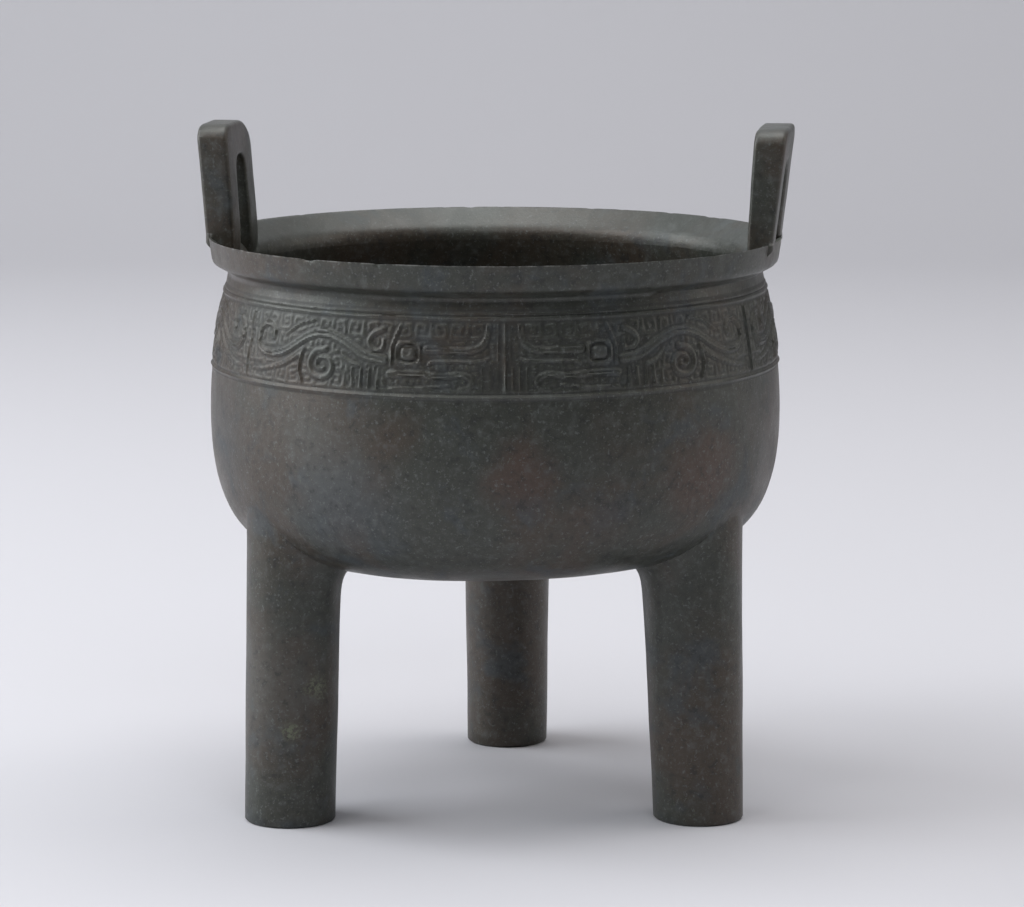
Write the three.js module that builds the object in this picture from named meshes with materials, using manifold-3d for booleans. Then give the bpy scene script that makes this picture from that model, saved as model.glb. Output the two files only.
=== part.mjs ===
// Round bronze ding: a cast cauldron on three column legs, with two upright
// handles on its lip and one band of paired dragons in low relief.
// Sizes are in millimetres, +Z is up, and the floor under the feet is z = 0.
import * as THREE from 'three';
import { mergeVertices } from 'three/addons/utils/BufferGeometryUtils.js';
import Module from 'manifold-3d';

const wasm = await Module();
wasm.setup();

// Bowl: half section from the round bottom to the everted lip.
const BOWL_SIDES = 48;
const AXIS_X = -0.52; // the bowl's axis stands this far off the middle of the outline
const BOTTOM_Z = 76; // lowest point of the round bottom
const BOTTOM_FLAT = 60.6; // reach of the bottom curve's handle
const BELLY_RADIUS = 87.95;
const BELLY_Z = 121; // height of the widest place
const BELLY_TURN_Z = 71; // end handle of the bottom curve
const SHOULDER_Z = 147; // start handle of the curve from belly to neck
const NECK_TURN_Z = 162.5; // end handle of the same curve
const NECK_RADIUS = 82.3;
const NECK_Z = 164.8;
const WALL = 3;
const FLOOR_WALL = 3.6;
const INNER_NECK_RADIUS = 79.4;
const INNER_NECK_Z = 165.5;
const LIP_RADIUS = 88.3;
const LIP_TOP_Z = 176; // outer edge, from which the top slopes down into the neck
const LIP_INNER_Z = 168.9;
const LIP_EDGE = 1.5; // rounded edge outside the slope
const ABOVE = 5; // how far the hollow's cutter stands out of the mouth
const LIP_FACE = 7.8; // height of the lip's outer face
const LIP_FACE_IN = 1.3; // how far the face draws in from top to foot
const LIP_ROUND = 0.8;
const LEAN = 0.005; // rise of the bowl under its lip towards +X, in mm for each mm
const BOTTOM_LEAN = 0.008; // further rise of the round bottom
const BOTTOM_LEAN_Z = 95; // height at which that further rise begins

// Relief band: dragons face each other in three pairs.
const BAND_UNDER_Z = 130; // plain wall between belly and band
const BAND_FLOOR_Z = 137;
const BAND_TOP_Z = 159.6;
const BAND_MIDDLE_Z = 149;
const BAND_RADIUS = 85.9;
const PAIRS = 3;
const FIRST_FACE_DEG = -88; // direction of the front pair's middle line
const THREAD_HALF = 0.8; // half width of the two border threads
const THREAD_RISE = 0.6;
const RELIEF_RISE = 0.65;
const RELIEF_ROOT = 1.1; // how deep a relief strip is set into the wall
const EYE_RISE = 1.2;

// Legs: plain columns, a little thicker where they meet the bowl, that lean in
// from foot to top by their inset.
const LEG_SIDES = 20;
const LEG_TOP_Z = 108;
const FOOT_ROUND = 0.8;
const LEGS = [
  { deg: 210.3, reach: 73.2, inset: 2.8, foot: 13.8, top: 14.5 },
  { deg: 330.7, reach: 70.7, inset: 3.9, foot: 13.7, top: 15.9 },
  { deg: 87.6, reach: 72.5, inset: 2.6, foot: 13.0, top: 14.4 },
];

// Handles: upright arches on the lip that lean outwards.
const HANDLE_HALF = 18.5;
const HANDLE_FOOT_HALF = 19;
const SLOT_HALF = 6.6;
const SLOT_FOOT_HALF = 8;
const SLOT_TOP_Z = 199;
const HANDLE_FOOT_Z = 164;
const HANDLE_KNEE_Z = 170; // under this height the inner face draws back into the neck
const HANDLE_BURY = 1.5; // how deep the feet of a handle are set into the lip
const HANDLES = [
  {
    deg: 172, top: 209.4, inner: [78, 80.5], outer: [87.1, 90],
    front: { wide: 8, high: 4 }, back: { wide: 15, high: 9 },
  },
  {
    deg: -8, top: 209.6, inner: [79.2, 81], outer: [87.1, 91.1],
    front: { wide: 7, high: 4 }, back: { wide: 6, high: 4 },
  },
];

const v2 = (x, y) => new THREE.Vector2(x, y);
const rad = THREE.MathUtils.degToRad;
const mix = THREE.MathUtils.lerp;

function toSolid(geometry) {
  const bare = geometry.clone();
  bare.deleteAttribute('normal');
  bare.deleteAttribute('uv');
  const merged = mergeVertices(bare, 1e-4);
  return new wasm.Manifold(new wasm.Mesh({
    numProp: 3,
    vertProperties: new Float32Array(merged.attributes.position.array),
    triVerts: new Uint32Array(merged.index.array),
  }));
}

function toGeometry(solid) {
  const mesh = solid.getMesh();
  const geometry = new THREE.BufferGeometry();
  geometry.setAttribute('position', new THREE.BufferAttribute(mesh.vertProperties, 3));
  geometry.setIndex(new THREE.BufferAttribute(mesh.triVerts, 1));
  geometry.computeVertexNormals();
  return geometry;
}

// Moves every vertex of a geometry by a function of its place.
function reshape(geometry, place) {
  const position = geometry.attributes.position;
  const point = new THREE.Vector3();
  for (let i = 0; i < position.count; i += 1) {
    place(point.fromBufferAttribute(position, i));
    position.setXYZ(i, point.x, point.y, point.z);
  }
  return geometry;
}

// The bowl was cast a little out of true: under its lip it rises towards +X.
function settle(geometry) {
  return reshape(geometry, (p) => {
    const deep = THREE.MathUtils.clamp((BOTTOM_LEAN_Z - p.z) / (BOTTOM_LEAN_Z - BOTTOM_Z), 0, 1);
    if (p.z < NECK_Z + THREAD_HALF) p.z += (LEAN + BOTTOM_LEAN * deep) * p.x;
  });
}

// Turns a profile of (radius, height) points about the bowl's axis.
function turned(profile, sides) {
  return new THREE.LatheGeometry(profile, sides).rotateX(Math.PI / 2);
}

// Curve from the belly up to the neck; the same form, thinner, is its inside.
function shoulder(belly, neck, neckZ) {
  return new THREE.CubicBezierCurve(
    v2(belly, BELLY_Z),
    v2(belly, SHOULDER_Z),
    v2(neck, neckZ + NECK_TURN_Z - NECK_Z),
    v2(neck, neckZ),
  );
}

function bottom(belly, bottomZ) {
  return new THREE.CubicBezierCurve(
    v2(0, bottomZ),
    v2(BOTTOM_FLAT * belly / BELLY_RADIUS, bottomZ),
    v2(belly, BELLY_TURN_Z + bottomZ - BOTTOM_Z),
    v2(belly, BELLY_Z),
  );
}

const outerShoulder = shoulder(BELLY_RADIUS, NECK_RADIUS, NECK_Z);

// Radius of the outer wall at a height between belly and neck.
function wallRadius(z) {
  let low = 0;
  let high = 1;
  for (let i = 0; i < 24; i += 1) {
    const middle = (low + high) / 2;
    if (outerShoulder.getPoint(middle).y < z) low = middle;
    else high = middle;
  }
  return outerShoulder.getPoint(low).x;
}

// Height of the lip's sloping upper face at a radius.
function lipHeight(radius) {
  const share = (radius - INNER_NECK_RADIUS) / (LIP_RADIUS - INNER_NECK_RADIUS);
  return mix(LIP_INNER_Z, LIP_TOP_Z, share);
}

function thread(z) {
  return [
    v2(wallRadius(z - THREAD_HALF), z - THREAD_HALF),
    v2(wallRadius(z) + THREAD_RISE, z),
    v2(wallRadius(z + THREAD_HALF), z + THREAD_HALF),
  ];
}

function outerBowl() {
  const lipFootZ = LIP_TOP_Z - LIP_FACE;
  const profile = [
    ...bottom(BELLY_RADIUS, BOTTOM_Z).getPoints(9),
    v2(wallRadius(BAND_UNDER_Z), BAND_UNDER_Z),
    ...thread(BAND_FLOOR_Z),
    v2(wallRadius(BAND_MIDDLE_Z), BAND_MIDDLE_Z),
    ...thread(BAND_TOP_Z),
    v2(NECK_RADIUS, NECK_Z),
    v2(NECK_RADIUS + LIP_ROUND, NECK_Z + LIP_ROUND),
    v2(LIP_RADIUS - LIP_FACE_IN - LIP_ROUND, lipFootZ - LIP_ROUND / 2),
    v2(LIP_RADIUS - LIP_FACE_IN, lipFootZ + LIP_ROUND),
    v2(LIP_RADIUS, LIP_TOP_Z - LIP_ROUND),
    v2(LIP_RADIUS - LIP_ROUND, LIP_TOP_Z),
    v2(0, LIP_TOP_Z),
  ];
  return settle(turned(profile, BOWL_SIDES));
}

function innerBowl() {
  const profile = [
    ...bottom(BELLY_RADIUS - WALL, BOTTOM_Z + FLOOR_WALL).getPoints(7),
    ...shoulder(BELLY_RADIUS - WALL, INNER_NECK_RADIUS, INNER_NECK_Z).getPoints(4).slice(1),
    v2(INNER_NECK_RADIUS + 0.5, lipHeight(INNER_NECK_RADIUS + 0.5)),
    v2(LIP_RADIUS - LIP_EDGE, LIP_TOP_Z),
    v2(LIP_RADIUS - LIP_EDGE, LIP_TOP_Z + ABOVE),
    v2(0, LIP_TOP_Z + ABOVE),
  ];
  return settle(turned(profile, BOWL_SIDES));
}

// A column leg, from its rounded foot to a top hidden inside the bowl.
function leg({ deg, reach, inset, foot, top }) {
  const profile = [
    v2(0, 0),
    v2(foot - FOOT_ROUND, 0),
    v2(foot - FOOT_ROUND * 0.3, FOOT_ROUND * 0.3),
    v2(foot, FOOT_ROUND),
    v2(mix(foot, top, 0.4), LEG_TOP_Z * 0.5),
    v2(top, LEG_TOP_Z),
    v2(0, LEG_TOP_Z),
  ];
  const geometry = turned(profile, LEG_SIDES);
  return reshape(geometry, (p) => {
    const radius = reach - inset * p.z / LEG_TOP_Z;
    p.x += radius * Math.cos(rad(deg)) - AXIS_X;
    p.y += radius * Math.sin(rad(deg));
  });
}

// Quarter ellipse at one top corner of an arch; side is 1 or -1.
function corner(side, half, topZ, { wide, high }, steps) {
  const points = [];
  for (let i = 0; i <= steps; i += 1) {
    const turn = i * Math.PI / 2 / steps;
    points.push(v2(
      side * (half - wide + wide * Math.cos(turn)),
      topZ - high + high * Math.sin(turn),
    ));
  }
  return points;
}

// The outline is drawn from the side at +x round over the top to -x, and back
// through the slot. Seen from outside, +x is the end that the angle grows to.
function handleOutline(top, plus, minus) {
  const slot = { wide: SLOT_HALF - 1, high: SLOT_HALF };
  return [
    v2(HANDLE_FOOT_HALF, HANDLE_FOOT_Z),
    v2(HANDLE_FOOT_HALF, HANDLE_KNEE_Z),
    ...corner(1, HANDLE_HALF, top, plus, 5),
    ...corner(-1, HANDLE_HALF, top, minus, 5).reverse(),
    v2(-HANDLE_FOOT_HALF, HANDLE_KNEE_Z),
    v2(-HANDLE_FOOT_HALF, HANDLE_FOOT_Z),
    v2(-SLOT_FOOT_HALF, HANDLE_FOOT_Z),
    v2(-SLOT_FOOT_HALF, HANDLE_KNEE_Z),
    ...corner(-1, SLOT_HALF, SLOT_TOP_Z, slot, 4),
    ...corner(1, SLOT_HALF, SLOT_TOP_Z, slot, 4).reverse(),
    v2(SLOT_FOOT_HALF, HANDLE_KNEE_Z),
    v2(SLOT_FOOT_HALF, HANDLE_FOOT_Z),
  ];
}

// Radius and height of a handle's inner face at a height of its outline.
function innerFace({ top, inner }, z) {
  const rise = Math.max(0, (z - LIP_TOP_Z) / (top - LIP_TOP_Z));
  const knee = Math.min(1, (z - HANDLE_FOOT_Z) / (HANDLE_KNEE_Z - HANDLE_FOOT_Z));
  return [mix(INNER_NECK_RADIUS + 1, mix(inner[0], inner[1], rise), knee), z];
}

// The same for its outer face, whose foot lies in the lip.
function outerFace({ top, outer }, z) {
  const rise = Math.max(0, (z - LIP_TOP_Z) / (top - LIP_TOP_Z));
  const radius = mix(outer[0], outer[1], rise);
  const share = Math.min(1, (z - HANDLE_FOOT_Z) / (LIP_TOP_Z - HANDLE_FOOT_Z));
  return [radius, mix(lipHeight(radius) - HANDLE_BURY, LIP_TOP_Z, share) + Math.max(0, z - LIP_TOP_Z)];
}

function handle(spec) {
  const onLeft = Math.cos(rad(spec.deg)) < 0;
  const [plus, minus] = onLeft ? [spec.front, spec.back] : [spec.back, spec.front];
  const outline = new THREE.Shape(handleOutline(spec.top, plus, minus));
  const slab = new THREE.ExtrudeGeometry(outline, { depth: 1, bevelEnabled: false });
  return reshape(slab, (p) => {
    const [radius, height] = p.z > 0.5 ? outerFace(spec, p.y) : innerFace(spec, p.y);
    const along = p.x;
    p.set(
      radius * Math.cos(rad(spec.deg)) - along * Math.sin(rad(spec.deg)),
      radius * Math.sin(rad(spec.deg)) + along * Math.cos(rad(spec.deg)),
      height,
    );
  });
}

// Relief is drawn flat: x runs round the wall from a pair's middle line, and
// y is the height over the band's lower thread. A strip follows a curve.
function strip(points, width, endWidth, steps) {
  const curve = new THREE.SplineCurve(points.map(([x, y]) => v2(x, y)));
  const left = [];
  const right = [];
  for (let i = 0; i <= steps; i += 1) {
    const t = i / steps;
    const half = mix(width, endWidth, t * t) / 2;
    const middle = curve.getPoint(t);
    const heading = curve.getTangent(t);
    left.push(v2(middle.x - heading.y * half, middle.y + heading.x * half));
    right.push(v2(middle.x + heading.y * half, middle.y - heading.x * half));
  }
  return { outline: [...left, ...right.reverse()], rise: RELIEF_RISE };
}

function spiralPoints(x, y, wide, high, turns, startDeg) {
  const points = [];
  const steps = Math.round(turns * 8);
  for (let i = 0; i <= steps; i += 1) {
    const turn = rad(startDeg) - i * Math.PI / 4;
    const size = 1 - 0.8 * i / steps;
    points.push([x + wide * size * Math.cos(turn), y + high * size * Math.sin(turn)]);
  }
  return points;
}

function roundedEye(x, y, wide, high) {
  const outline = [];
  for (let i = 0; i < 8; i += 1) {
    const turn = (i + 0.5) * Math.PI / 4;
    const square = (value) => Math.sign(value) * Math.sqrt(Math.abs(value));
    outline.push(v2(x + wide / 2 * square(Math.cos(turn)), y + high / 2 * square(Math.sin(turn))));
  }
  return { outline, rise: EYE_RISE };
}

// One dragon in profile, its snout at the middle line and its tail rising
// into an inward hook; haunch and fin lie under the back.
function dragon() {
  const snout = [[23, 13.7], [17, 13.6], [11, 13.4], [7, 14.6], [5.3, 17.2], [4.7, 20.6]];
  const jaw = [[34, 6.3], [27, 6.7], [19, 6.1], [12.5, 6.6], [9.5, 5.2], [10, 3], [12.8, 2.4]];
  const brow = [[33.6, 9], [33.6, 14], [31.2, 20.6]];
  const horn = [[36.8, 19], [40, 17.4], [41, 15], [39, 13], [36.6, 13.6], [36.4, 16]];
  const back = [
    [36, 10.3], [42, 11.3], [48, 14.4], [54, 16.5], [59, 16.8], [63.5, 15.4], [68, 12.8],
    [72, 10.7], [76.5, 9.4], [81, 9.3], [84.4, 11], [85.3, 14], [83.8, 16.9], [80.4, 18],
    [77.8, 16.4], [77.8, 14],
  ];
  const fin = [[64.5, 11.6], [68, 9.2], [72, 7.1], [77, 5.5], [82.5, 4.3], [87, 4.2]];
  return [
    strip(snout, 2.4, 1.8, 5),
    strip(jaw, 2.2, 1.5, 6),
    strip(brow, 1.3, 1.1, 2),
    strip(horn, 1.8, 1.2, 5),
    strip(back, 3, 1.8, 15),
    strip(fin, 2.2, 0.7, 4),
    strip(spiralPoints(56.6, 7.6, 5.6, 4.9, 1.6, 100), 2, 1.4, 11),
    roundedEye(28.4, 12.4, 7.2, 6),
  ];
}

// Middle ridge of a pair, with two short bars beside it, and half the border
// line that parts it from the next pair.
function pairLines() {
  const upright = (x, low, high, width) => ({
    outline: [v2(x + width, low), v2(x + width, high), v2(x - width, high), v2(x - width, low)],
    rise: RELIEF_RISE,
  });
  return [
    upright(0, 1.6, 21.2, 0.5),
    upright(Math.PI * BAND_RADIUS / PAIRS, 1.6, 21.2, 0.5),
  ];
}

// Bends a flat outline onto the wall as a low raised solid.
function raised({ outline, rise }, faceDeg, mirror) {
  const flat = outline.map((p) => v2(mirror * p.x, p.y));
  const slab = new THREE.ExtrudeGeometry(new THREE.Shape(flat), { depth: 1, bevelEnabled: false });
  reshape(slab, (p) => {
    const z = BAND_FLOOR_Z + p.y;
    const turn = rad(faceDeg) + p.x / BAND_RADIUS;
    const radius = wallRadius(z) + mix(-RELIEF_ROOT, rise, p.z);
    p.set(radius * Math.cos(turn), radius * Math.sin(turn), z);
  });
  return settle(slab);
}

function bandRelief() {
  const pieces = [];
  for (let pair = 0; pair < PAIRS; pair += 1) {
    const faceDeg = FIRST_FACE_DEG + pair * 360 / PAIRS;
    for (const line of pairLines()) pieces.push(raised(line, faceDeg, 1));
    for (const mirror of [1, -1]) {
      for (const form of dragon()) pieces.push(raised(form, faceDeg, mirror));
    }
  }
  return pieces;
}

function ding() {
  let body = toSolid(outerBowl());
  for (const spec of LEGS) body = body.add(toSolid(leg(spec)));
  body = body.subtract(toSolid(innerBowl()));
  for (const spec of HANDLES) body = body.add(toSolid(handle(spec)));
  for (const piece of bandRelief()) body = body.add(toSolid(piece));
  return toGeometry(body).translate(AXIS_X, 0, 0);
}

const bronze = new THREE.MeshStandardMaterial({ color: 0x3b3d39, roughness: 0.45, metalness: 0.6 });
const vessel = new THREE.Mesh(ding(), bronze);
vessel.name = 'ding_vessel';

const model = new THREE.Group();
model.add(vessel);

export default model;
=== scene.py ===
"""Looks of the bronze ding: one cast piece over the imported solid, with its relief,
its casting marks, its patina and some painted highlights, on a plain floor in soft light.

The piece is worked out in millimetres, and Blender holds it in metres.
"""
import math

import bmesh
import bpy
import numpy as np
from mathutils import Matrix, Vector, noise


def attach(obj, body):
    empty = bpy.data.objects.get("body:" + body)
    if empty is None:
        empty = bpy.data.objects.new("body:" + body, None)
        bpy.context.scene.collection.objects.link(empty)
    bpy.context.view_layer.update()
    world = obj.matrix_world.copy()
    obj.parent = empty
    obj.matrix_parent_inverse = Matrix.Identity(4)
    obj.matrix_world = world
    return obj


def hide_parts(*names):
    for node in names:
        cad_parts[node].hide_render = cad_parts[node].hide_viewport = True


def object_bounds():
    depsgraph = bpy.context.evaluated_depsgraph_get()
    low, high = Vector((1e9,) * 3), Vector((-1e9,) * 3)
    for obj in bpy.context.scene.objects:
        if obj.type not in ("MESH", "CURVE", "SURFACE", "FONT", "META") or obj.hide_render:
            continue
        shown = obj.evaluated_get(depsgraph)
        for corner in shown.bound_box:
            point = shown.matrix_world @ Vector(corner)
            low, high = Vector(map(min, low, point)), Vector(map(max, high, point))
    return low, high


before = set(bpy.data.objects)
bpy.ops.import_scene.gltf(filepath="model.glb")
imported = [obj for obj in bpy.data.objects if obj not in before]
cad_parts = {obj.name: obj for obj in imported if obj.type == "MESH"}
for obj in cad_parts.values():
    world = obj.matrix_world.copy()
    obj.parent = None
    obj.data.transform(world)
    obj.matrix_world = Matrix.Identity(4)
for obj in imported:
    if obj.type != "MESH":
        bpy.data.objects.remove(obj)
CAD_LOW, CAD_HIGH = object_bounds()
MM = 0.001
TAU = 2 * math.pi

# Bowl, as in the solid: the lip's radius and the top come from the frame.
LIP_RADIUS = (CAD_HIGH.y - CAD_LOW.y) / 2 / MM
TOP_Z = CAD_HIGH.z / MM
AXIS_X = -0.52  # the bowl's axis stands this far off the middle of the outline
BOTTOM_Z = 76.0
BOTTOM_FLAT = 60.6
BELLY_RADIUS = LIP_RADIUS - 0.35
BELLY_Z = 121.0
BELLY_TURN_Z = 71.0
SHOULDER_Z = 147.0
NECK_TURN_Z = 162.5
NECK_RADIUS = LIP_RADIUS - 6.0
NECK_Z = 164.8
WALL = 3.0
FLOOR_WALL = 3.6
INNER_NECK_RADIUS = LIP_RADIUS - 8.9
INNER_NECK_Z = 165.5
LIP_TOP_Z = 176.0  # outer edge, from which the top slopes down into the neck
LIP_INNER_Z = 168.9
LIP_FOOT_Z = 167.6
LIP_FACE_IN = 1.3  # how far the lip's face draws in from top to foot
LEAN = 0.005  # rise of the bowl under its lip towards +X
LEAN_FROM_Z, LEAN_TO_Z = 166.6, 163.6
BOTTOM_LEAN = 0.008  # further rise of the round bottom, from this height down
BOTTOM_LEAN_Z = 95.0

# Band of paired dragons.
BAND_FLOOR_Z = 137.0
BAND_TOP_Z = 159.6
BAND_RADIUS = 85.9
BAND_GRID = (135.4, 161.9)  # heights between which the mesh is fine enough for relief
PAIRS = 3
FIRST_FACE_DEG = -88
RELIEF_RISE = 0.68
RELIEF_EDGE = 0.55
GROOVE_DEEP = 0.42
GROOVE_HALF = 0.5
GROUND_RISE = 0.27
EYE_RISE = 1.1
EYE_RIM = 0.18  # half width of the raised rim round each eye, as a share of its size

# Columns of the turned mesh: each coarser zone has half as many.
FINE_COLUMNS = 1040
ROW_FINE = 0.52

LEG_COLUMNS = 48
LEG_JOIN_Z = 85.0  # about where the legs meet the bowl
LEG_LEAN_Z = 108.0  # each leg leans in by its inset up to here
FOOT_ROUND = 0.8
FILLET = 2.4
FILLET_REACH = 2.6
LEGS = (
    {"deg": 210.3, "reach": 73.2, "inset": 2.8, "foot": 13.8, "top": 14.5},
    {"deg": 330.7, "reach": 70.7, "inset": 3.9, "foot": 13.7, "top": 15.9},
    {"deg": 87.6, "reach": 72.5, "inset": 2.6, "foot": 13.0, "top": 14.4},
)

HANDLE_HALF = 18.5
HANDLE_FOOT_HALF = 19.0
SLOT_HALF = 6.6
SLOT_FOOT_HALF = 8.0
SLOT_TOP_Z = 199.0
HANDLE_FOOT_Z = 164.0
HANDLE_KNEE_Z = 170.0  # under this height the inner face draws back into the neck
HANDLE_BURY = 1.5
HANDLES = (
    {"deg": 172, "top": TOP_Z - 0.2, "inner": (78.0, 80.5), "outer": (87.1, 90.0),
     "plus": (8.0, 4.0), "minus": (15.0, 9.0)},
    {"deg": -8, "top": TOP_Z, "inner": (79.2, 81.0), "outer": (87.1, 91.1),
     "plus": (6.0, 4.0), "minus": (7.0, 4.0)},
)


def mix(a, b, t):
    return a + (b - a) * t


def smooth(t):
    """Soft step from 0 to 1."""
    t = np.clip(t, 0.0, 1.0)
    return t * t * (3 - 2 * t)


# ---------------------------------------------------------------- profile

def bezier(p0, p1, p2, p3, steps):
    t = np.linspace(0, 1, steps + 1)[:, None]
    p0, p1, p2, p3 = map(np.array, (p0, p1, p2, p3))
    return (1 - t) ** 3 * p0 + 3 * (1 - t) ** 2 * t * p1 + 3 * (1 - t) * t * t * p2 + t ** 3 * p3


def bottom_curve(belly, bottom_z):
    flat = BOTTOM_FLAT * belly / BELLY_RADIUS
    turn_z = BELLY_TURN_Z + bottom_z - BOTTOM_Z
    return bezier((0, bottom_z), (flat, bottom_z), (belly, turn_z), (belly, BELLY_Z), 400)


def shoulder_curve(belly, neck, neck_z):
    turn_z = neck_z + NECK_TURN_Z - NECK_Z
    return bezier((belly, BELLY_Z), (belly, SHOULDER_Z), (neck, turn_z), (neck, neck_z), 400)


OUTER_BOTTOM = bottom_curve(BELLY_RADIUS, BOTTOM_Z)
OUTER_SHOULDER = shoulder_curve(BELLY_RADIUS, NECK_RADIUS, NECK_Z)
MIDDLE_BOTTOM = bottom_curve(BELLY_RADIUS - WALL / 2, BOTTOM_Z + FLOOR_WALL / 2)
INNER_BOTTOM = bottom_curve(BELLY_RADIUS - WALL, BOTTOM_Z + FLOOR_WALL)
INNER_SHOULDER = shoulder_curve(BELLY_RADIUS - WALL, INNER_NECK_RADIUS, INNER_NECK_Z)


def wall_radius(z):
    return np.interp(z, OUTER_SHOULDER[:, 1], OUTER_SHOULDER[:, 0])


def belly_height(radius, curve):
    """Height of a bottom curve over a radius, as far out as the curve goes."""
    return np.interp(radius, curve[:, 0], curve[:, 1])


def soft_path(corners):
    """Path through corners given as (radius, height, rounding)."""
    points = [np.array(corners[0][:2])]
    for before, here, after in zip(corners, corners[1:], corners[2:]):
        corner = np.array(here[:2])
        start = np.array(before[:2]) - corner
        end = np.array(after[:2]) - corner
        a = corner + start / np.linalg.norm(start) * here[2]
        b = corner + end / np.linalg.norm(end) * here[2]
        for t in np.linspace(0, 1, 9):
            points.append((1 - t) ** 2 * a + 2 * t * (1 - t) * corner + t * t * b)
    points.append(np.array(corners[-1][:2]))
    return np.array(points)


LIP_PATH = soft_path((
    (NECK_RADIUS, NECK_Z, 0),
    (NECK_RADIUS + 0.2, NECK_Z + 0.5, 0.3),
    (LIP_RADIUS - LIP_FACE_IN, LIP_FOOT_Z, 1.3),
    (LIP_RADIUS, LIP_TOP_Z, 0.9),
    (INNER_NECK_RADIUS + 0.1, LIP_INNER_Z, 2.6),
    (INNER_NECK_RADIUS, INNER_NECK_Z, 0),
))


def lip_height(radius):
    share = (radius - INNER_NECK_RADIUS) / (LIP_RADIUS - INNER_NECK_RADIUS)
    return mix(LIP_INNER_Z, LIP_TOP_Z, share)


def paced(path, step):
    """The same path with even steps of about the given length."""
    run = np.concatenate([[0], np.cumsum(np.linalg.norm(np.diff(path, axis=0), axis=1))])
    count = max(2, round(run[-1] / step) + 1)
    at = np.linspace(0, run[-1], count)
    return np.stack([np.interp(at, run, path[:, k]) for k in (0, 1)], axis=1)


def between(path, key, low, high):
    """The stretch of a path whose radius (key 0) or height (key 1) lies in a range."""
    at = np.linspace(low, high, 200)
    order = np.argsort(path[:, key])
    other = np.interp(at, path[order, key], path[order, 1 - key])
    return np.stack([at, other] if key == 0 else [other, at], axis=1)


def bowl_rows():
    """Rows of the turned mesh from the outer to the inner pole: radius, height, columns."""
    fine, half, quarter, eighth = (FINE_COLUMNS // n for n in (1, 2, 4, 8))
    rest = BAND_GRID[1]
    stretches = (
        (paced(between(OUTER_BOTTOM, 0, 2, 56), 5), eighth),
        (paced(OUTER_BOTTOM[OUTER_BOTTOM[:, 0] > 58], 2.6), quarter),
        (paced(between(OUTER_SHOULDER, 1, BELLY_Z + 2, 129), 2.6), quarter),
        (paced(between(OUTER_SHOULDER, 1, 130.5, BAND_GRID[0] - 1), 1.3), half),
        (paced(between(OUTER_SHOULDER, 1, *BAND_GRID), ROW_FINE), fine),
        (paced(between(OUTER_SHOULDER, 1, rest + 0.9, NECK_Z - 0.9), 1), half),
        (paced(LIP_PATH, 0.95), half),
        (paced(INNER_SHOULDER[::-1][8:], 3.4)[:-1], quarter),
        (paced(INNER_BOTTOM[::-1], 3.8)[:-1], eighth),
    )
    rows = [(0.0, BOTTOM_Z, 1)]
    for path, columns in stretches:
        rows += [(r, z, columns) for r, z in path]
    rows.append((0.0, BOTTOM_Z + FLOOR_WALL, 1))
    return rows


# ----------------------------------------------------------------- relief
# Drawn flat, in mm: x runs round the wall from a pair's middle line, and y is
# the height over the band's lower thread.

SNOUT = ((23, 13.7), (17, 13.6), (11, 13.4), (7, 14.6), (5.3, 17.2), (4.7, 20.6))
MOUTH = ((22.5, 9.2), (20, 10.3), (8, 10.5), (4.6, 11.4))
JAW = ((34, 6.3), (27, 6.7), (19, 6.1), (12.5, 6.6), (9.5, 5.2), (10, 3), (12.8, 2.4))
BROW = ((33.6, 9), (33.6, 14), (31.2, 20.6))
HORN = ((36.8, 19), (40, 17.4), (41, 15), (39, 13), (36.6, 13.6), (36.4, 16))
BACK = (
    (36, 10.3), (42, 11.3), (48, 14.4), (54, 16.5), (59, 16.8), (63.5, 15.4), (68, 12.8),
    (72, 10.7), (76.5, 9.4), (81, 9.3), (84.4, 11), (85.3, 14), (83.8, 16.9), (80.4, 18),
    (77.8, 16.4), (77.8, 14),
)
FIN = ((64.5, 11.6), (68, 9.2), (72, 7.1), (77, 5.5), (82.5, 4.3), (87, 4.2))
THIGH = ((64.9, 10.6), (65.4, 6), (63.8, 2.2))
CREST = ((44, 8.2), (47.6, 9.6), (50, 12.2))
CHIN = ((33.8, 2.2), (24, 2.6), (16, 3.6))
SPINE = ((61, 20.4), (67, 18.6), (72.4, 15.2))
EYE = (28.4, 12.4, 7.2, 6.0)


def haunch():
    points = []
    for i in range(14):
        turn = math.radians(100) - i * TAU / 8
        size = 1 - 0.8 * i / 13
        points.append((56.6 + 5.6 * size * math.cos(turn), 7.6 + 4.9 * size * math.sin(turn)))
    return points


def upright(x, low, high):
    return ((x, low), (x, (low + high) / 2), (x, high))


def ribbons():
    """Each raised ribbon as (points, width at the start, width at the end, has a groove)."""
    edge = math.pi * BAND_RADIUS / PAIRS
    forms = [
        (SNOUT, 2.4, 1.8, True), (MOUTH, 1.1, 0.9, False), (JAW, 2.2, 1.5, True),
        (BROW, 1.3, 1.1, False), (HORN, 1.8, 1.2, False), (BACK, 3.0, 1.8, True),
        (FIN, 2.2, 0.7, True), (THIGH, 1.5, 1.2, False), (haunch(), 2.0, 1.4, False),
        (CREST, 1.5, 0.8, False), (CHIN, 1.1, 0.8, False), (SPINE, 1.2, 0.8, False),
        (upright(0, 1.6, 21.2), 1.1, 1.1, False), (upright(1.9, 10, 21), 0.7, 0.7, False),
        (upright(edge, 1.6, 21.2), 1.2, 1.2, False),
    ]
    forms += [(upright(x, 1.7, 8.6), 0.8, 0.8, False) for x in (2.2, 4.3, 6.4)]
    forms += [(upright(x, 1.8, 7.6), 1.1, 0.9, False) for x in (37.5, 40.3, 43.1, 45.9)]
    return forms


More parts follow.
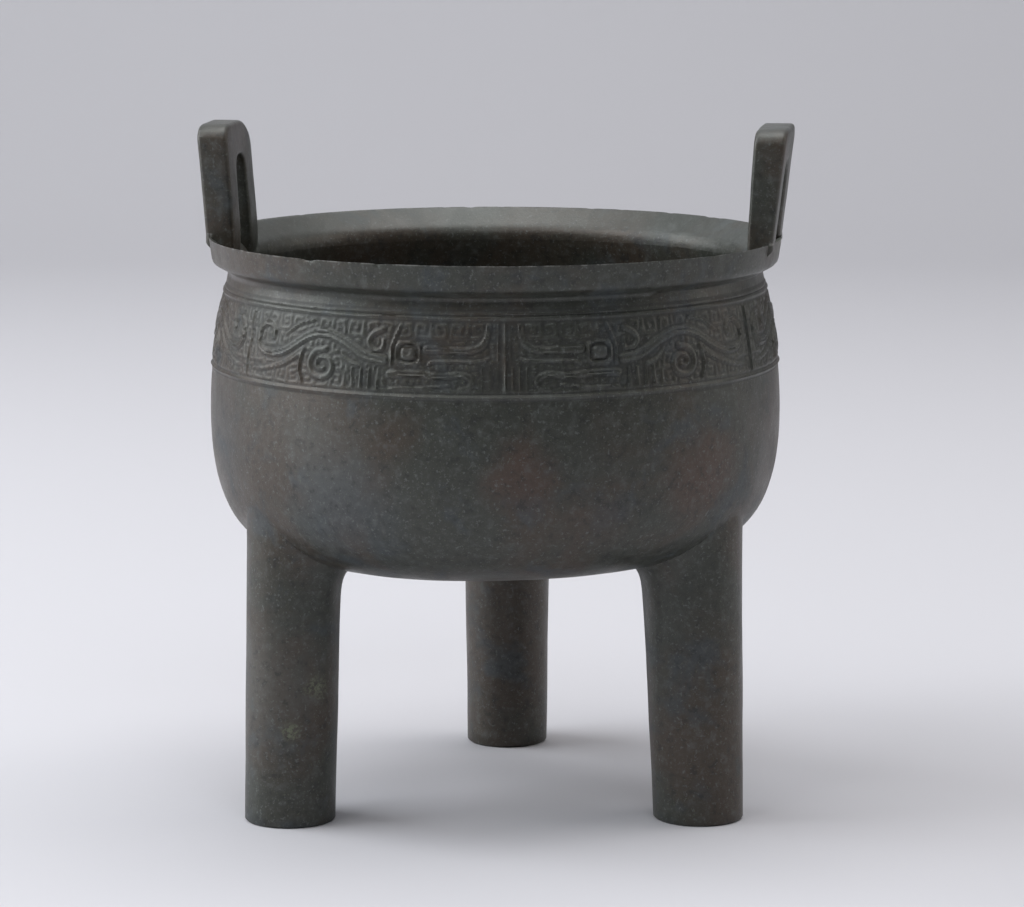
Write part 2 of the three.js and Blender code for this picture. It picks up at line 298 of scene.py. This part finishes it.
def spline(points, step=0.2):
    """Points on a curve through the given ones, with the share of its length at each."""
    p = np.array(points, float)
    out = []
    for i in range(len(p) - 1):
        a, b, c, d = p[max(i - 1, 0)], p[i], p[i + 1], p[min(i + 2, len(p) - 1)]
        count = max(3, int(np.linalg.norm(c - b) / step))
        t = np.linspace(0, 1, count, endpoint=False)[:, None]
        v0, v1 = (c - a) / 2, (d - b) / 2
        out.append((2 * b - 2 * c + v0 + v1) * t ** 3 + (3 * c - 3 * b - 2 * v0 - v1) * t * t + v0 * t + b)
    out.append(p[-1:])
    line = np.concatenate(out)
    return line, np.linspace(0, 1, len(line))


def ground(x, y):
    """Square spirals that fill the ground, from 0 in their grooves to 1 on their lines."""
    wide, high, turns = 5.4, 5.15, 1.55
    i, j = np.floor(x / wide), np.floor((y - 1.2) / high)
    u = (x / wide - i - 0.5) * 2 * np.where((i + j) % 2 > 0, -1, 1)
    v = ((y - 1.2) / high - j - 0.5) * 2
    phase = np.maximum(abs(u), abs(v)) * turns - np.arctan2(v, u) / TAU
    ridge = 0.5 - abs(phase - np.floor(phase) - 0.5)
    return smooth((ridge - 0.14) / 0.2)


def relief(theta, z):
    """Rise of the band's carving over the wall, in mm, for arrays of places."""
    turn = (theta - math.radians(FIRST_FACE_DEG)) * PAIRS / TAU
    side = (turn - np.round(turn)) * TAU / PAIRS * BAND_RADIUS
    x, y = abs(side), z - BAND_FLOOR_Z
    rise = np.zeros_like(x)
    outside = np.full_like(x, 9.0)
    for points, width, end_width, grooved in ribbons():
        line, share = spline(points)
        low, high = line.min(axis=0) - 3, line.max(axis=0) + 3
        near = np.nonzero((x > low[0]) & (x < high[0]) & (y > low[1]) & (y < high[1]))[0]
        distance = np.full(len(near), 9.0)
        edge = np.full(len(near), 9.0)
        for (px, py), s in zip(line, share):
            d = np.hypot(x[near] - px, y[near] - py)
            distance = np.minimum(distance, d)
            edge = np.minimum(edge, d - mix(width, end_width, s * s) / 2)
        form = RELIEF_RISE * smooth(-edge / RELIEF_EDGE)
        if grooved:
            form = form - GROOVE_DEEP * smooth(1 - distance / GROOVE_HALF) * (edge < -0.3)
        rise[near] = np.maximum(rise[near], form)
        outside[near] = np.minimum(outside[near], edge)
    cx, cy, wide, high = EYE
    square = ((abs(x - cx) * 2 / wide) ** 4 + (abs(y - cy) * 2 / high) ** 4) ** 0.25
    rim = RELIEF_RISE * smooth((EYE_RIM - abs(square - 1)) / 0.12)
    boss = EYE_RISE * smooth((0.68 - square) / 0.2)
    pupil = 0.5 * smooth(1 - np.hypot(x - cx, y - cy) / 0.8)
    rise = np.where(square < 1 + EYE_RIM, np.maximum(rim, boss - pupil), rise)
    outside = np.where(square < 1 + EYE_RIM, -1, outside)
    inside_band = smooth((y - 1.1) / 0.4) * smooth((BAND_TOP_Z - BAND_FLOOR_Z - 1.1 - y) / 0.4)
    lines = GROUND_RISE * ground(x, y) * smooth((outside - 0.45) / 0.35)
    rise = np.maximum(rise, lines) * inside_band
    for at, strength, half in ((0, 0.6, 0.85), (1.75, 0.3, 0.5), (22.6, 0.6, 0.85), (24.0, 0.28, 0.5)):
        rise = np.maximum(rise, strength * smooth(1 - abs(y - at) / half))
    return rise


# ------------------------------------------------------------------- mesh

def ripple(points, size, seed):
    """Smooth noise of about -1 to 1 with bumps of the given size in mm."""
    shift = Vector((seed * 17.3, seed * 5.1, seed * 9.7))
    return np.array([noise.noise(Vector(p) / size + shift) for p in points])


def lean(z):
    deep = np.clip((BOTTOM_LEAN_Z - z) / (BOTTOM_LEAN_Z - BOTTOM_Z), 0, 1)
    return LEAN + BOTTOM_LEAN * deep


def leaning_height(x, y, curve):
    """Height of the leaning bottom over a place."""
    z = belly_height(np.hypot(x, y), curve)
    return z + lean(z) * x


def settle(xyz):
    """The bowl was cast a little out of true: under its lip it rises towards +X."""
    depth = smooth((LEAN_FROM_Z - xyz[:, 2]) / (LEAN_FROM_Z - LEAN_TO_Z))
    xyz[:, 2] += lean(xyz[:, 2]) * depth * xyz[:, 0]
    return xyz


def stitch(start_a, count_a, start_b, count_b):
    """Faces between two closed rows; the counts are equal, or one is twice or all of the other."""
    faces = []
    if count_a == count_b:
        for i in range(count_a):
            k = (i + 1) % count_a
            faces.append((start_a + i, start_a + k, start_b + k, start_b + i))
    elif count_a == 1:
        for i in range(count_b):
            faces.append((start_a, start_b + (i + 1) % count_b, start_b + i))
    elif count_b == 1:
        for i in range(count_a):
            faces.append((start_a + i, start_a + (i + 1) % count_a, start_b))
    elif count_b == 2 * count_a:
        for i in range(count_a):
            k = (i + 1) % count_a
            b0, b1, b2 = start_b + 2 * i, start_b + 2 * i + 1, start_b + (2 * i + 2) % count_b
            faces += [(start_a + i, b1, b0), (start_a + i, start_a + k, b1), (start_a + k, b2, b1)]
    else:
        for i in range(count_b):
            k = (i + 1) % count_b
            a0, a1, a2 = start_a + 2 * i, start_a + 2 * i + 1, start_a + (2 * i + 2) % count_a
            faces += [(a0, a1, start_b + i), (a1, start_b + k, start_b + i), (a1, a2, start_b + k)]
    return faces


def bowl_mesh():
    rows = bowl_rows()
    path = np.array([(r, z) for r, z, _ in rows])
    along = np.gradient(path, axis=0)
    along /= np.linalg.norm(along, axis=1)[:, None] + 1e-9
    normal = np.stack([along[:, 1], -along[:, 0]], axis=1)
    starts, radius, height, theta, out_r, out_z = [], [], [], [], [], []
    total = 0
    for (r, z, columns), (nr, nz) in zip(rows, normal):
        starts.append(total)
        total += columns
        radius += [r] * columns
        height += [z] * columns
        theta += [TAU * i / columns for i in range(columns)]
        out_r += [nr] * columns
        out_z += [nz] * columns
    radius, height, theta, out_r, out_z = map(np.array, (radius, height, theta, out_r, out_z))
    rise = np.zeros(total)
    carved = (height > BAND_GRID[0] - 0.1) & (height < BAND_GRID[1] + 0.1) & (radius > INNER_NECK_RADIUS)
    carved &= out_r > 0.5
    outward = np.stack([radius * np.cos(theta), radius * np.sin(theta), height], axis=1)
    wobble = 0.22 * ripple(outward, 34, 1) + 0.07 * ripple(outward, 7, 2) - 0.12
    drift = 0.25 * ripple(outward, 9, 3)[carved]
    rise[carved] = relief(theta[carved] + drift / BAND_RADIUS, height[carved] + 0.5 * drift)
    edge = np.hypot(radius - LIP_RADIUS, height - LIP_TOP_Z)
    nicks = np.clip(ripple(outward, 5, 4) - 0.22, 0, 1) * 1.6 * smooth(1 - edge / 1.8)
    near_lip = smooth(1 - edge / 6)
    push = rise + wobble * (1 - 0.6 * near_lip) - nicks - 0.1 * near_lip
    radius = radius + out_r * push
    height = height + out_z * push
    xyz = np.stack([radius * np.cos(theta), radius * np.sin(theta), height], axis=1)
    faces = []
    for i in range(len(rows) - 1):
        faces += stitch(starts[i], rows[i][2], starts[i + 1], rows[i + 1][2])
    return settle(xyz), faces


def leg_mesh(spec):
    """A column from its rounded foot up into the middle of the bowl's wall."""
    turns = np.linspace(0, TAU, LEG_COLUMNS, endpoint=False)
    under = (12.5, 10, 8, 6.4, 5, 4, 3.2, 2.5, 1.9, 1.3, 0.7, 0)
    lower = ((0, -FOOT_ROUND), (0.35, -0.35), (FOOT_ROUND, 0)) + tuple((4.0 + 5.2 * i, 0) for i in range(12))

    def place(z, size):
        z = np.broadcast_to(z, turns.shape)
        reach = spec["reach"] - spec["inset"] * z / LEG_LEAN_Z
        x = reach * math.cos(math.radians(spec["deg"])) - AXIS_X + size * np.cos(turns)
        y = reach * math.sin(math.radians(spec["deg"])) + size * np.sin(turns)
        return x, y

    inward = np.clip(0.75 - 0.75 * np.cos(turns - math.radians(spec["deg"])), 0, 1)

    def thick(z):
        return mix(spec["foot"], spec["top"], np.clip(z / LEG_LEAN_Z, 0, 1))

    def flared(z):
        x, y = place(z, thick(z))
        radius = np.hypot(x, y)
        gap = leaning_height(x, y, OUTER_BOTTOM) - z
        slope = (belly_height(radius + 0.2, OUTER_BOTTOM) - belly_height(radius - 0.2, OUTER_BOTTOM)) / 0.4
        distance = np.clip(gap, 0, 99) / np.hypot(1, slope)
        size = thick(z) + FILLET * inward * np.exp(-distance / FILLET_REACH)
        x, y = place(z, size)
        return np.stack([x, y, np.broadcast_to(z, turns.shape)], axis=1)

    x, y = place(LEG_JOIN_Z, thick(LEG_JOIN_Z))
    top = leaning_height(x, y, MIDDLE_BOTTOM)
    rows = []
    for z, inset in lower:
        x, y = place(z, thick(z) + inset)
        rows.append(np.stack([x, y, np.full(LEG_COLUMNS, z)], axis=1))
    shortest = rows[-1][0, 2]
    for gap in under:
        rows.append(flared(np.maximum(top - gap, shortest + 0.6 * (13 - gap) / 13)))
    for share in (0.75, 0.5, 0.25):
        x, y = place(LEG_JOIN_Z, thick(LEG_JOIN_Z) * share)
        z = leaning_height(x, y, MIDDLE_BOTTOM)
        rows.append(np.stack([x, y, z], axis=1))
    xyz = np.concatenate(rows)
    soft = 0.2 * ripple(xyz, 22, 5) + 0.06 * ripple(xyz, 6, 6)
    middle = np.concatenate([np.tile(r.mean(axis=0), (LEG_COLUMNS, 1)) for r in rows])
    outward = (xyz - middle)[:, :2]
    outward /= np.linalg.norm(outward, axis=1)[:, None]
    xyz[:, :2] += outward * soft[:, None]
    faces = []
    for i in range(len(rows) - 1):
        faces += stitch(i * LEG_COLUMNS, LEG_COLUMNS, (i + 1) * LEG_COLUMNS, LEG_COLUMNS)
    bottom_pole, top_pole = len(xyz), len(xyz) + 1
    poles = np.array([rows[0].mean(axis=0), rows[-1].mean(axis=0)])
    faces += stitch(bottom_pole, 1, 0, LEG_COLUMNS)
    faces += stitch((len(rows) - 1) * LEG_COLUMNS, LEG_COLUMNS, top_pole, 1)
    return np.concatenate([xyz, poles]), faces


def rounded_section(wide, deep, radius, arc=4):
    """Closed rounded rectangle about the middle, with points along its long sides too."""
    points = []
    for quarter, (sx, sy) in enumerate(((1, 1), (-1, 1), (-1, -1), (1, -1))):
        for i in range(arc + 1):
            turn = (quarter + i / arc) * math.pi / 2
            points.append((sx * (wide - radius) + radius * math.cos(turn),
                           sy * (deep - radius) + radius * math.sin(turn)))
        nx, ny = points[-1]
        if quarter % 2 == 0:
            points += [(nx * (1 - t), ny) for t in (0.6, 1.4)]
        else:
            points += [(nx, ny * (1 - t)) for t in (0.6, 1.4)]
    return np.array(points)


def handle_stations(spec):
    """Pairs of outline and slot points from the foot at +along over the top to the other."""
    spring = SLOT_TOP_Z - SLOT_HALF
    turn = np.linspace(0, math.pi / 2, 40)
    slot = np.stack([1 + (SLOT_HALF - 1) * np.cos(turn), spring + SLOT_HALF * np.sin(turn)], axis=1)
    slot = np.concatenate([[(SLOT_HALF, spring)], slot, [(0, SLOT_TOP_Z)]])

    def at_angle(line, angle):
        angles = np.arctan2(line[:, 1] - spring, line[:, 0])
        return np.array([np.interp(angle, angles, line[:, k]) for k in (0, 1)])

    def half(side, wide, high):
        corner = np.stack([HANDLE_HALF - wide + wide * np.cos(turn),
                           spec["top"] - high + high * np.sin(turn)], axis=1)
        outline = np.concatenate([[(HANDLE_HALF, spring)], corner, [(0, spec["top"])]])
        stations = []
        for z in np.linspace(HANDLE_FOOT_Z, spring - 1.5, 13):
            share = np.clip((z - HANDLE_KNEE_Z) / (spring - HANDLE_KNEE_Z), 0, 1)
            stations.append((np.array([mix(HANDLE_FOOT_HALF, HANDLE_HALF, share), z]),
                             np.array([mix(SLOT_FOOT_HALF, SLOT_HALF, share), z])))
        for angle in np.linspace(0, math.pi / 2, 19):
            stations.append((at_angle(outline, angle), at_angle(slot, angle)))
        return [(o * (side, 1), i * (side, 1)) for o, i in stations]

    return half(1, *spec["plus"]) + half(-1, *spec["minus"])[-2::-1]


def handle_mesh(spec):
    """An arch swept from one foot over the slot to the other, on the sloping lip."""
    deg = math.radians(spec["deg"])
    section = rounded_section(1, 1, 0.28)
    across = (section[:, 1] + 1) / 2
    rows = []
    for outline, slot in handle_stations(spec):
        flat = (outline + slot) / 2 + section[:, :1] * (outline - slot) / 2
        z = flat[:, 1]
        rise = np.clip((z - LIP_TOP_Z) / (spec["top"] - LIP_TOP_Z), 0, 1)
        knee = np.clip((z - HANDLE_FOOT_Z) / (HANDLE_KNEE_Z - HANDLE_FOOT_Z), 0, 1)
        foot_radius = np.sqrt((INNER_NECK_RADIUS + 1) ** 2 - flat[:, 0] ** 2)
        inside = mix(foot_radius, mix(*spec["inner"], rise), knee)
        outside = mix(*spec["outer"], rise)
        share = np.clip((z - HANDLE_FOOT_Z) / (LIP_TOP_Z - HANDLE_FOOT_Z), 0, 1)
        outer_z = mix(lip_height(outside) - HANDLE_BURY, LIP_TOP_Z, share) + np.maximum(0, z - LIP_TOP_Z)
        radius = mix(inside, outside, across)
        x = radius * math.cos(deg) - flat[:, 0] * math.sin(deg)
        y = radius * math.sin(deg) + flat[:, 0] * math.cos(deg)
        rows.append(np.stack([x, y, mix(z, outer_z, across)], axis=1))
    count = len(section)
    xyz = np.concatenate(rows)
    xyz += 0.12 * np.stack([ripple(xyz, 11, k) for k in (7, 8, 9)], axis=1)
    faces = []
    for k in range(len(rows) - 1):
        faces += stitch(k * count, count, (k + 1) * count, count)
    faces.append(tuple(range(count))[::-1])
    faces.append(tuple((len(rows) - 1) * count + k for k in range(count)))
    return xyz, faces


def new_object(name, xyz, faces):
    mesh = bpy.data.meshes.new(name)
    mesh.from_pydata([tuple(p) for p in (xyz + (AXIS_X, 0, 0)) * MM], [], faces)
    mesh.validate()
    obj = bpy.data.objects.new(name, mesh)
    bpy.context.scene.collection.objects.link(obj)
    return obj


def face_out(obj):
    """Turns every face of a closed mesh outwards."""
    work = bmesh.new()
    work.from_mesh(obj.data)
    bmesh.ops.recalc_face_normals(work, faces=work.faces)
    if work.calc_volume(signed=True) < 0:
        bmesh.ops.reverse_faces(work, faces=work.faces)
    work.to_mesh(obj.data)
    work.free()


def join(body, others):
    for other in others:
        modifier = body.modifiers.new("join", "BOOLEAN")
        modifier.operation = "UNION"
        modifier.solver = "MANIFOLD"
        modifier.object = other
    graph = bpy.context.evaluated_depsgraph_get()
    mesh = bpy.data.meshes.new_from_object(body.evaluated_get(graph))
    body.modifiers.clear()
    body.data = mesh
    for other in others:
        bpy.data.objects.remove(other)


def cast_vessel():
    body = new_object("ding_bronze", *bowl_mesh())
    face_out(body)
    others = [new_object("leg", *leg_mesh(spec)) for spec in LEGS]
    others += [new_object("handle", *handle_mesh(spec)) for spec in HANDLES]
    for other in others:
        face_out(other)
    join(body, others)
    return body


def mark_carving(mesh):
    """Stores on each vertex how high it lies in the band's carving, for the patina."""
    xyz = np.array([v.co[:] for v in mesh.vertices]) / MM - (AXIS_X, 0, 0)
    theta = np.arctan2(xyz[:, 1], xyz[:, 0])
    radius = np.hypot(xyz[:, 0], xyz[:, 1])
    z = xyz[:, 2] - LEAN * xyz[:, 0]
    band = (z > BAND_GRID[0]) & (z < BAND_GRID[1]) & (radius > INNER_NECK_RADIUS + 2)
    height = np.full(len(xyz), 0.5)
    height[band] = np.clip(relief(theta[band], z[band]) / RELIEF_RISE, 0, 1)
    attribute = mesh.attributes.new("carving", "FLOAT", "POINT")
    attribute.data.foreach_set("value", height.astype(np.float32))


# --------------------------------------------------------------- material

class Nodes:
    """Short way to write a node tree."""

    def __init__(self, tree):
        self.tree = tree

    def add(self, kind, **values):
        node = self.tree.nodes.new(kind)
        for key, value in values.items():
            if hasattr(node, key):
                setattr(node, key, value)
        return node

    def link(self, source, target):
        self.tree.links.new(source, target)

    def put(self, node, socket, value):
        """Sets a socket to a value, or links it to another node's output."""
        if isinstance(value, bpy.types.NodeSocket):
            self.link(value, node.inputs[socket])
        else:
            node.inputs[socket].default_value = value

    def noise(self, place, scale, detail=3.0, rough=0.55, warp=0.0):
        node = self.add("ShaderNodeTexNoise")
        for socket, value in (("Vector", place), ("Scale", scale), ("Detail", detail),
                              ("Roughness", rough), ("Distortion", warp)):
            self.put(node, socket, value)
        return node.outputs["Fac"]

    def step(self, value, low, high, top=1.0, bottom=0.0):
        """Soft step of a value between two limits."""
        node = self.add("ShaderNodeMapRange", interpolation_type="SMOOTHSTEP")
        for socket, number in (("Value", value), ("From Min", low), ("From Max", high),
                               ("To Min", bottom), ("To Max", top)):
            self.put(node, socket, number)
        return node.outputs["Result"]

    def math(self, operation, a, b):
        node = self.add("ShaderNodeMath", operation=operation)
        self.put(node, 0, a)
        self.put(node, 1, b)
        return node.outputs[0]

    def blend(self, share, a, b, how="MIX"):
        node = self.add("ShaderNodeMix", data_type="RGBA", blend_type=how)
        self.put(node, 0, share)
        self.put(node, 6, a if isinstance(a, bpy.types.NodeSocket) else (*a, 1))
        self.put(node, 7, b if isinstance(b, bpy.types.NodeSocket) else (*b, 1))
        return node.outputs[2]

    def spot(self, place, middle, reach, ragged):
        """Ragged patch about a place on the piece, from 0 outside to 1 inside."""
        away = self.add("ShaderNodeVectorMath", operation="DISTANCE")
        self.put(away, 0, place)
        self.put(away, 1, [c * MM for c in middle])
        shaken = self.math("ADD", away.outputs["Value"], self.math("MULTIPLY", ragged, reach * MM))
        return self.step(shaken, reach * 1.55 * MM, reach * 0.75 * MM)


OLIVE = (0.039, 0.042, 0.034)
BROWN = (0.052, 0.039, 0.028)
SLATE = (0.046, 0.056, 0.062)
RUSSET = (0.070, 0.042, 0.030)
SOOT = (0.016, 0.016, 0.016)
# Pale colour for mineral specks and worn crests, also used as painted highlight where light falls
BLOOM_AND_HIGHLIGHT = (0.122, 0.132, 0.126)
# Bright colour of the painted highlight along the lip's top edge
EDGE_HIGHLIGHT = (0.26, 0.26, 0.24)
VERDIGRIS = (0.135, 0.150, 0.095)


def patina_and_painted_light():
    """Dark satin patina: olive and brown clouds, russet patches, mineral specks and pits, with painted
    highlights and sheen where the light falls.
    """
    material = bpy.data.materials.new("patina_and_painted_light")
    material.use_nodes = True
    tree = material.node_tree
    shader = tree.nodes["Principled BSDF"]
    n = Nodes(tree)
    place = n.add("ShaderNodeTexCoord").outputs["Object"]
    clouds = n.noise(place, 22, 4, 0.6, 0.6)
    streaks = n.noise(place, 55, 5, 0.62, 0.4)
    mottle = n.noise(place, 340, 5, 0.66)
    grain = n.noise(place, 1000, 3, 0.6)
    dust = n.noise(place, 2300, 2, 0.6)

    colour = n.blend(n.step(clouds, 0.38, 0.62), OLIVE, BROWN)
    colour = n.blend(n.step(streaks, 0.52, 0.68, 0.7), colour, SLATE)
    for middle, reach, share in (((8, -86, 112), 15, 0.8), ((62, -60, 112), 20, 0.8),
                                 ((30, -80, 100), 16, 0.35), ((84, -10, 104), 22, 0.4)):
        patch = n.spot(place, middle, reach, streaks)
        colour = n.blend(n.math("MULTIPLY", patch, share), colour, RUSSET)
    # Lighter bluish patches on the left of the belly: slate tone of the patina, and painted sheen where the
    # left light reflects
    for middle, reach, share in (((-46, -72, 104), 24, 0.7), ((-78, -30, 115), 24, 0.4)):
        patch = n.spot(place, middle, reach, clouds)
        colour = n.blend(n.math("MULTIPLY", patch, share), colour, SLATE)
    # Painted highlight: the left side of the front-left leg is lightened where the light from the left falls
    patch = n.spot(place, (-74, -42, 42), 30, clouds)
    colour = n.blend(n.math("MULTIPLY", patch, 0.3), colour, BLOOM_AND_HIGHLIGHT)
    # Painted highlights: a lighter patch on the left of the belly and on the top corner of the left handle
    for middle, reach, share in (((-50, -70, 118), 26, 0.22), ((-88, 0, 195), 24, 0.1)):
        patch = n.spot(place, middle, reach, clouds)
        colour = n.blend(n.math("MULTIPLY", patch, share), colour, BLOOM_AND_HIGHLIGHT)
    colour = n.blend(n.step(mottle, 0.50, 0.72, 0.40), colour, BLOOM_AND_HIGHLIGHT)
    colour = n.blend(n.step(mottle, 0.48, 0.32, 0.60), colour, SOOT)
    colour = n.blend(n.step(grain, 0.58, 0.70, 0.65), colour, BLOOM_AND_HIGHLIGHT)
    colour = n.blend(n.step(dust, 0.64, 0.72, 0.6), colour, VERDIGRIS)
    facing = n.add("ShaderNodeSeparateXYZ")
    n.put(facing, 0, n.add("ShaderNodeNewGeometry").outputs["Normal"])
    high = n.add("ShaderNodeSeparateXYZ")
    n.put(high, 0, place)
    flat = n.add("ShaderNodeVectorMath", operation="MULTIPLY")
    n.put(flat, 0, place)
    n.put(flat, 1, (1, 1, 0))
    away = n.add("ShaderNodeVectorMath", operation="LENGTH")
    n.put(away, 0, flat.outputs[0])
    # Painted highlight: a thin bright line round the outer top edge of the lip, broken up by the mottle
    lip_edge_highlight = n.math("MULTIPLY", n.step(away.outputs["Value"], 87.2 * MM, 87.9 * MM),
                  n.step(high.outputs["Z"], 174.8 * MM, 175.5 * MM))
    lip_edge_highlight = n.math("MULTIPLY", lip_edge_highlight, n.step(high.outputs["Z"], 176.6 * MM, 176.3 * MM))
    lip_edge_highlight = n.math("MULTIPLY", lip_edge_highlight, n.step(mottle, 0.42, 0.60, 0.85))
    colour = n.blend(lip_edge_highlight, colour, EDGE_HIGHLIGHT)
    # Painted highlight: faces turned upwards from the neck up (lip top, handle tops) are lightened, as where
    # light from above falls
    lit_from_above = n.math("MULTIPLY", n.step(facing.outputs["Z"], 0.35, 0.85),
                     n.step(high.outputs["Z"], 160 * MM, 170 * MM, 0.5))
    colour = n.blend(lit_from_above, colour, BLOOM_AND_HIGHLIGHT)
    for middle, reach in (((-55, -47, 43), 5), ((-62, -50, 30), 4), ((-84, 6, 176), 9), ((84, -14, 176), 7)):
        patch = n.spot(place, middle, reach, mottle)
        colour = n.blend(n.math("MULTIPLY", patch, n.step(grain, 0.4, 0.6, 0.8)), colour, VERDIGRIS)
    carving = n.add("ShaderNodeAttribute")
    carving.attribute_name = "carving"
    height = carving.outputs["Fac"]
    colour = n.blend(n.step(height, 0.30, 0.0, 0.38), colour, SOOT)
    colour = n.blend(n.step(height, 0.75, 1.0, 0.14), colour, BLOOM_AND_HIGHLIGHT)
    n.put(shader, "Base Color", colour)

    rough = n.step(streaks, 0.35, 0.7, 0.52, 0.38)
    rough = n.math("ADD", rough, n.step(mottle, 0.5, 0.75, 0.14))
    rough = n.math("ADD", rough, n.step(height, 0.3, 0.0, 0.12))
    n.put(shader, "Roughness", rough)
    shader.inputs["Metallic"].default_value = 0.25
    shader.inputs["Specular IOR Level"].default_value = 0.62

    heights = n.math("ADD", n.math("MULTIPLY", mottle, 0.5), n.math("MULTIPLY", grain, 0.22))
    heights = n.math("ADD", heights, n.math("MULTIPLY", n.step(dust, 0.3, 0.36), 0.12))
    bump = n.add("ShaderNodeBump")
    bump.inputs["Strength"].default_value = 0.65
    bump.inputs["Distance"].default_value = 0.35 * MM
    n.put(bump, "Height", heights)
    n.put(shader, "Normal", bump.outputs["Normal"])
    return material


# ------------------------------------------------- floor, light and camera

def plain(name, colour, roughness):
    material = bpy.data.materials.new(name)
    material.use_nodes = True
    shader = material.node_tree.nodes["Principled BSDF"]
    shader.inputs["Base Color"].default_value = (*colour, 1)
    shader.inputs["Roughness"].default_value = roughness
    shader.inputs["Specular IOR Level"].default_value = 0.2
    return material


def sweep():
    """Pale floor that curves up into a back wall."""
    front, back, bend, top, half = -2.2, 1.5, 0.8, 2.6, 3.2
    profile = [(front, 0.0), (back, 0.0)]
    for i in range(1, 13):
        turn = i / 12 * math.pi / 2
        profile.append((back + bend * math.sin(turn), bend * (1 - math.cos(turn))))
    profile.append((back + bend, top))
    points = [(x, y, z) for y, z in profile for x in (-half, half)]
    faces = [(2 * i, 2 * i + 1, 2 * i + 3, 2 * i + 2) for i in range(len(profile) - 1)]
    mesh = bpy.data.meshes.new("floor")
    mesh.from_pydata(points, [], faces)
    for polygon in mesh.polygons:
        polygon.use_smooth = True
    obj = bpy.data.objects.new("floor", mesh)
    bpy.context.scene.collection.objects.link(obj)
    mesh.materials.append(plain("pale_floor", (0.625, 0.62, 0.653), 0.8))


def area_light(name, place, target, size, power, colour=(1, 1, 1)):
    light = bpy.data.lights.new(name, "AREA")
    light.shape = "RECTANGLE"
    light.size, light.size_y = size
    light.energy = power
    light.color = colour
    obj = bpy.data.objects.new(name, light)
    obj.location = place
    obj.rotation_euler = (Vector(target) - Vector(place)).to_track_quat("-Z", "Y").to_euler()
    bpy.context.scene.collection.objects.link(obj)


def studio():
    middle = (0, 0, 0.1)
    area_light("key", (-1.1, -0.9, 1.9), middle, (1.3, 1.3), 12)
    area_light("left", (-1.6, 0.1, 0.9), middle, (1.6, 1.6), 34, (0.94, 0.97, 1.0))
    area_light("top", (0.2, 0.3, 2.2), middle, (1.8, 1.8), 29)
    area_light("right", (1.6, 0.2, 0.8), middle, (1.2, 1.4), 7.2, (1.0, 0.96, 0.93))
    area_light("front", (0.3, -1.8, 2.0), middle, (1.2, 1.0), 9.6, (0.93, 0.97, 1.0))
    world = bpy.data.worlds.new("studio")
    bpy.context.scene.world = world
    world.use_nodes = True
    background = world.node_tree.nodes["Background"]
    background.inputs["Color"].default_value = (0.80, 0.80, 0.84, 1)
    background.inputs["Strength"].default_value = 0.06
    bpy.context.scene.view_settings.view_transform = "Standard"


def photo_camera():
    """Long lens a little above the lip, looking slightly down at the vessel."""
    camera = bpy.data.cameras.new("camera")
    camera.sensor_width = 36
    camera.lens = 149.08
    camera.clip_end = 20
    obj = bpy.data.objects.new("camera", camera)
    obj.location = (0.00461, -1.3, 0.31093)
    obj.rotation_euler = (math.radians(90 - 8.911), 0, 0)
    bpy.context.scene.collection.objects.link(obj)
    bpy.context.scene.camera = obj


photo_camera()
vessel = cast_vessel()
for polygon in vessel.data.polygons:
    polygon.use_smooth = True
vessel.data.set_sharp_from_angle(angle=math.radians(50))
mark_carving(vessel.data)
vessel.data.materials.clear()
vessel.data.materials.append(patina_and_painted_light())
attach(vessel, "root")
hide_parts("ding_vessel")
sweep()
studio()
